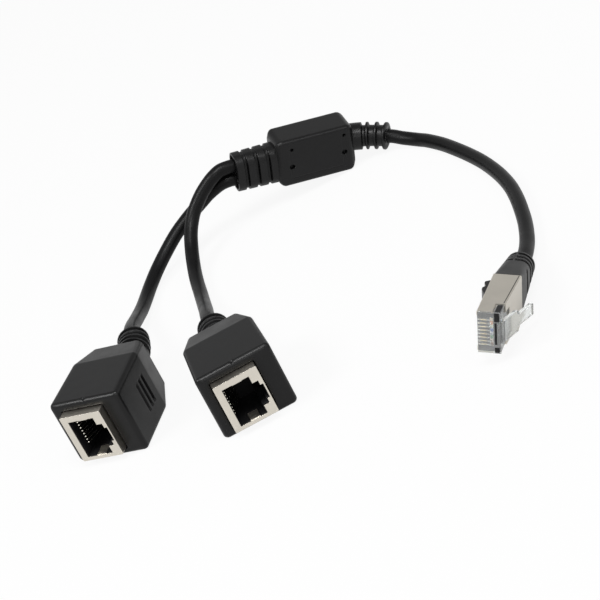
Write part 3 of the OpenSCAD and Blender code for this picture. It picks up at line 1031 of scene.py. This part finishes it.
@dataclass
class YBlock:
    """The moulded Y block, its fork relief for two cables and its round relief for one.

    A dimple is its place along and up the block, and its radius. The panel line runs at panel_x either side
    of the middle, from panel_low to panel_top. The fork's end is hollow: it draws in by the two amounts of
    hollow_draw, at its rim and down its wall, and hollow_floor is the size of the hollow's floor.
    """

    pose: Pose = Pose((6.85, 64.7, 11.25), (8.6, 16.1, 19.7))
    length: float = 25.3
    thickness: float = 11.2
    height: float = 15.8
    edge: float = 1.2
    corner: float = 2.1
    dimples: tuple[Vec, ...] = ((-7.8, 4.6, 0.45), (9.4, 5.1, 0.45), (-8.2, -1.3, 0.78), (9.1, -0.8, 0.78))
    dimple_depth: float = 1.2
    panel_x: float = 8.6
    panel_low: float = -5.2
    panel_top: float = 5.4
    panel_line: float = 0.16
    panel_depth: float = 0.12
    fork: float = 12.8
    fork_height: float = 12.4
    fork_thickness: float = 8.4
    fork_drop: float = 1.1
    fork_swell: float = 0.6
    fork_ribs: int = 4
    fork_rib: float = 2.0
    fork_flank: float = 0.35
    fork_groove: float = 2.6
    fork_groove_share: float = 0.3
    hollow_draw: tuple[float, float] = (1.5, 1.9)
    hollow_depth: float = 1.4
    hollow_floor: tuple[float, float] = (4.5, 9.0)
    stem_rise: float = 0.85
    stem_run: float = 12.3
    stem_lean: float = 14.0
    stem_bend: float = 24.0
    stem_pivot: float = 1.0
    stem_root: float = 4.4
    stem_ribs: tuple[float, ...] = (5.1, 8.0, 10.9)
    stem_rib_length: float = 1.5
    stem_rim: float = 5.2
    rib: float = 8.6
    groove: float = 0.95

    def build(self) -> None:
        """Builds the block and its two reliefs."""
        body = self._body()
        fork = self._fork()
        stem = self._stem()
        for obj in (fork, stem):
            settle(obj, OVERMOULD)
        settle(body, OVERMOULD, "junction_housing")

    def _body(self) -> bpy.types.Object:
        """Lofts the block along X: round-cornered sections that draw in by a quarter round at each end.

        Returns:
            The block.
        """
        ins, along = arc_steps(self.corner, 12)
        half = self.length / 2.0
        plain = np.linspace(-half + self.corner, half - self.corner, 170)[1:-1]
        s = np.concatenate([-half + along, plain, half - along[::-1]])
        inset = np.concatenate([ins, np.zeros_like(plain), ins[::-1]])
        soft = np.minimum(inset, self.edge)
        pattern = RingPattern(corner=7, side_x=20, side_z=96)
        y, z = pattern.rings(self.thickness - 2 * soft, self.height - 2 * inset, np.full_like(s, self.edge))
        x = np.repeat(s[:, None], y.shape[1], axis=1)
        y = np.where(np.abs(y) > self.thickness / 2.0 - NEAR_SIDE, y - np.sign(y) * self._marks(x, z), y)
        return skin("y_block", self.pose.world(np.stack([x, y, z], axis=-1)), crease=50.0)

    def _marks(self, x: np.ndarray, z: np.ndarray) -> np.ndarray:
        """Depth of the moulding marks on a large face: four pin dimples and a faint panel line.

        A dimple is a smooth step across its edge, and a line is exp(-(d / w)^2), with d the distance from it.

        Args:
            x: Along the block.
            z: Up the block.

        Returns:
            Depth at each point.
        """
        depth = np.zeros_like(x)
        for px, pz, r in self.dimples:
            depth = np.maximum(depth, self.dimple_depth * smooth((r + 0.1 - np.hypot(x - px, z - pz)) / 0.2))
        low = np.exp(-((z - self.panel_low) / self.panel_line) ** 2) * (np.abs(x) < self.panel_x + 0.1)
        side = np.exp(-((np.abs(x) - self.panel_x) / self.panel_line) ** 2)
        side = side * ((z > self.panel_low - 0.1) & (z < self.panel_top))
        return np.maximum(depth, self.panel_depth * np.maximum(low, side))

    def _fork(self) -> bpy.types.Object:
        """Lofts the fork relief: round-cornered sections whose size steps up at each rib, with a hollow end.

        The first rib starts inside the block, and the others a little before their own place.

        Returns:
            The relief.
        """
        s = np.linspace(-0.6, self.fork - 0.02, 170)
        step = (self.fork - self.fork_rib) / (self.fork_ribs - 1)
        rise = np.zeros_like(s)
        for i in range(self.fork_ribs):
            low = i * step - (0.75 if i else 2.0)
            rise = np.maximum(rise, band(s, low, i * step + self.fork_rib + 0.2, self.fork_flank))
        swell = np.interp(s, [0.0, self.fork], [self.fork_swell, 0.0])
        cut = self.fork_groove * (1.0 - rise)
        rim, wall = self.hollow_draw
        width, height = (
            np.append(size + swell - share * cut, [size - rim, size - wall, floor]) for size, share, floor in (
                (self.fork_thickness, 1.0, self.hollow_floor[0]),
                (self.fork_height, self.fork_groove_share, self.hollow_floor[1])))
        floor_at = self.fork - self.hollow_depth
        s = np.append(s, [self.fork, floor_at, floor_at - 0.1])
        pattern = RingPattern(corner=16, side_x=6, side_z=10)
        y, z = pattern.rings(width, height, np.minimum(width, height) / 2.0 - 0.6)
        z = z - self.fork_drop
        x = -self.length / 2.0 - np.repeat(s[:, None], y.shape[1], axis=1)
        return skin("y_block_fork_relief", self.pose.world(np.stack([x, y, z], axis=-1)), crease=50.0)

    def _stem(self) -> bpy.types.Object:
        """Lofts the round relief on its bent spine, then leans it and sets it on the block's end.

        Returns:
            The relief.
        """
        s = np.linspace(-0.8, self.stem_run, 130)
        rise = band(s, -5.0, self.stem_root, 0.45)
        for low in self.stem_ribs:
            rise = np.maximum(rise, band(s, low, low + self.stem_rib_length, 0.5))
        r = self.rib / 2.0 - self.groove * (1.0 - rise)
        r = np.append(r, [self.stem_rim / 2.0, CABLE_HOLE / 2.0])
        s = np.append(s, [self.stem_run, self.stem_run - HOLE_TUCK])
        x, z = RingPattern(corner=14, side_x=1, side_z=1).rings(2 * r, 2 * r, r)
        local = Spine(0.0, self.stem_run, self.stem_bend).carry(s, x, z)
        # the spine runs along +Y and bends to -X: here it runs along +X and bends to -Y
        run = np.stack([local[..., 1], local[..., 0], local[..., 2]], axis=-1)
        # it leans about a point a little inside the block's end
        run[..., 0] += self.stem_pivot
        a = math.radians(-self.stem_lean)
        lean = np.array([[math.cos(a), -math.sin(a), 0.0], [math.sin(a), math.cos(a), 0.0], [0.0, 0.0, 1.0]])
        run = run @ lean.T
        run[..., 0] += self.length / 2.0 - self.stem_pivot
        run[..., 2] += self.stem_rise
        return skin("y_block_stem_relief", self.pose.world(run), crease=50.0)


# Plug

@dataclass(frozen=True)
class ShadeWell:
    """A black bar of painted shade in the plug's clear nose, standing for the shadow inside it: its middle and width
    across the thickness, its depth, and its two ends.
    """

    middle: float
    wide: float
    depth: float
    low: float
    high: float


@dataclass
class Plug:
    """The clear shielded plug, its contacts and cores, and its boot.

    The tab's teeth are points of its outline: how far out it stands, and how far along from the tab's start.
    """

    pose: Pose = Pose((51.8, -72.3, 10.65), (-8.4, 18.4, -17.3))
    thickness: float = 6.9
    width: float = 11.68
    length: float = 21.2
    sheet: float = 0.28
    nose: float = 5.2
    nose_thickness: float = 6.0
    seam_inset: float = 0.55
    seam_half: tuple[float, float] = (0.13, 0.06)
    tab_back: float = 10.4
    tab_width: float = 3.0
    tab_inset: float = 0.4
    teeth: tuple[tuple[float, float], ...] = (
        (-0.1, -0.05), (0.3, -0.05), (1.36, 2.3), (1.36, 3.08), (0.5712, 3.46), (1.36, 5.72), (1.36, 6.5),
        (0.3, 7.26), (-0.1, 7.26))
    # black bars of painted shade that stand for the shadow inside the nose
    shade_wells: tuple[ShadeWell, ...] = (
        ShadeWell(5.05, 1.35, 4.6, 3.3, 5.83), ShadeWell(4.75, 0.6, 1.5, -3.3, 3.0), ShadeWell(5.05, 1.3, 1.5, -5.6, -4.1))
    boot: float = 17.2
    boot_end: float = 7.8
    boot_rim: float = 5.0
    grooves: int = 3
    groove_pitch: float = 2.2
    groove_width: float = 1.15
    web_middle: float = -0.6
    web_half: float = 0.5
    side_cut: float = 6.6
    side_cut_half: float = 3.7
    side_cut_depth: float = 0.55

    def build(self) -> None:
        """Builds and dresses every piece of the plug."""
        softened("plug_body", CLEAR, bevel=0.12)
        softened("plug_shield", NICKEL, bevel=0.1)
        self._seam()
        self._tab()
        self._shade_wells()
        self._boot()
        for i in range(1, 9):
            dress("plug_contact_%d" % i, GOLD)
            dress("plug_wire_%d" % i, CORES[i - 1])

    def _seam(self) -> None:
        """Lays a dark strip of painted shade, standing for the shadow in the folded sheet's seam, along the upper
        face, beside its latch-side edge.

        It is a flat strip carried along a line that keeps its distance from the slanted edge.
        """
        s = np.linspace(self.nose + 0.5, self.length - 0.2, 24)
        gain = (self.thickness - self.nose_thickness) * (s - self.nose) / (self.length - self.nose)
        line = np.stack([self.nose_thickness + gain + self.sheet - self.seam_inset, s,
                         np.full_like(s, self.width / 2.0 - 0.02)], axis=-1)
        a = np.linspace(0.0, 2.0 * math.pi, 12, endpoint=False)
        across = np.stack([self.seam_half[0] * np.cos(a), np.zeros_like(a), self.seam_half[1] * np.sin(a)], axis=-1)
        # painted shade: the dark strip stands for the shadow in the seam
        settle(skin("plug_shield_seam_shade", self.pose.world(line[:, None] + across)), SEAM_SHADE)

    def _tab(self) -> None:
        """Makes the shield's tab with two teeth that stands out of the contact side, in the black overmould finish
        as painted shade, since the metal tab lies in its own shadow.

        Its outline is a row of points in x and y, drawn in a little at both ends of its width.
        """
        out, along = np.array(self.teeth).T
        z = self.width / 2.0 - self.tab_inset - np.array([-0.05, 0.05, self.tab_width - 0.05, self.tab_width + 0.05])
        draw = np.array([0.08, 0.0, 0.0, 0.08])[:, None]
        x = draw - out - self.sheet
        y = self.length - self.tab_back + along + draw * np.sign(along[-1] / 2.0 - along)
        points = np.stack([x, y, np.repeat(z[:, None], len(out), axis=1)], axis=-1)
        # painted shade: the shield's metal tab takes the black overmould finish for the shadow it lies in
        settle(skin("plug_shield_tab_painted_shade", self.pose.world(points), crease=30.0), OVERMOULD)

    def _shade_wells(self) -> None:
        """Makes three black bars of painted shade in the clear nose on the latch side, standing for the shadow
        inside it, each with eased corners.

        A bar starts a hair in front of the nose's face, so that the face is open there.
        """
        for i, well in enumerate(self.shade_wells, 1):
            s = np.array([-0.01, 0.0, well.depth - 0.1, well.depth])
            draw = np.array([0.04, 0.0, 0.0, 0.2])
            pattern = RingPattern(corner=4, side_x=6, side_z=8)
            x, z = pattern.rings(well.wide - draw, well.high - well.low - draw, np.full_like(s, 0.14))
            points = np.stack([x + well.middle, np.repeat(s[:, None], x.shape[1], axis=1),
                               z + (well.low + well.high) / 2.0], axis=-1)
            # painted shade: each bar is black where the nose only lies in shadow
            settle(skin("plug_nose_shade_well_%d" % i, self.pose.world(points), crease=30.0), OVERMOULD)

    def _boot(self) -> None:
        """Lofts the boot: one straight taper from the shield to a round end, with ring grooves and a side cut.

        Width, height and corner radius each run evenly from the shield's outline to the end's circle. In a
        ring groove they become those of a smaller circle, except at the web along the boot's top, where the
        outline stays full: its share there is exp(-(d / w)^4), with d the distance from the web's middle.
        The side cut is a short slot across the latch side.
        """
        start, end = self.length + 0.05, self.length + self.boot
        ins, along = arc_steps(0.25, 4)
        middle = np.linspace(start + 0.4, end - 0.5, 170)
        s = np.concatenate([start + along, middle, end - along[::-1]])
        inset = np.concatenate([ins, np.zeros_like(middle), ins[::-1]])
        t = (s - start) / (end - start)
        width = (1 - t) * (self.thickness + 2 * self.sheet) + t * self.boot_end - 2 * inset
        height = (1 - t) * (self.width - 0.1) + t * self.boot_end - 2 * inset
        radius = (1 - t) * 0.8 + t * self.boot_end / 2.0
        full_x, full_z = self._boot_rings(width, height, radius)
        for i in range(1, self.grooves + 1):
            cut = self._groove(s, end - i * self.groove_pitch)
            floor = self.boot_end - 2.0 + 0.5 * i
            width = width + cut * (np.minimum(width, floor) - width)
            height = height + cut * (np.minimum(height, floor) - height)
            radius = radius + cut * (floor / 2.0 - radius)
        x, z = self._boot_rings(width, height, radius)
        web = np.exp(-((full_x - self.web_middle) / self.web_half) ** 4) * (full_z > 0.0)
        x, z = x + web * (full_x - x), z + web * (full_z - z)
        s, width = np.append(s, [end, end - HOLE_TUCK]), np.append(width, [self.boot_rim, CABLE_HOLE])
        cut = self._groove(s, self.length + self.side_cut)[:, None]
        cut = cut * band(z, -self.side_cut_half, self.side_cut_half, 0.3)
        x = x - np.where(x > width[:, None] / 2.0 - 0.3, self.side_cut_depth * cut, 0.0)
        points = np.stack([x + self.thickness / 2.0, np.repeat(s[:, None], x.shape[1], axis=1), z], axis=-1)
        settle(skin("plug_boot_piece", self.pose.world(points), crease=50.0), OVERMOULD, "plug_boot")

    def _groove(self, s: np.ndarray, low: float) -> np.ndarray:
        """Share of a groove's depth at each place along the boot, for a groove that starts at low."""
        return band(s, low - 0.1, low + self.groove_width + 0.1, 0.25)

    def _boot_rings(self, width: np.ndarray, height: np.ndarray,
                    radius: np.ndarray) -> tuple[np.ndarray, np.ndarray]:
        """Outlines of the boot, with two more rings that close its end round the cable.

        Args:
            width: Width of each ring.
            height: Height of each ring.
            radius: Corner radius of each ring.

        Returns:
            The x and the z of each point, as n by m arrays.
        """
        close = np.array([self.boot_rim, CABLE_HOLE])
        width, height, radius = np.append(width, close), np.append(height, close), np.append(radius, close / 2.0)
        return RingPattern(corner=14, side_x=16, side_z=24).rings(width, height, radius)


def main() -> None:
    """Builds the camera, the cables, the moulded pieces and the studio."""
    logging.basicConfig(level=logging.INFO, format="%(message)s")
    bpy.context.scene.view_settings.view_transform = "Standard"
    Camera().build()
    for cable in CABLES:
        cable.build()
    YBlock().build()
    Jack("left", Pose((-57.9, -50.3, 10.15), (0.0, 0.0, -16.0)), bend=30.0).build()
    Jack("right", Pose((-12.9, -59.8, 10.15), (0.0, 0.0, 15.8)), bend=0.0).build()
    Plug().build()
    Studio().build()


if __name__ == "__main__":
    main()
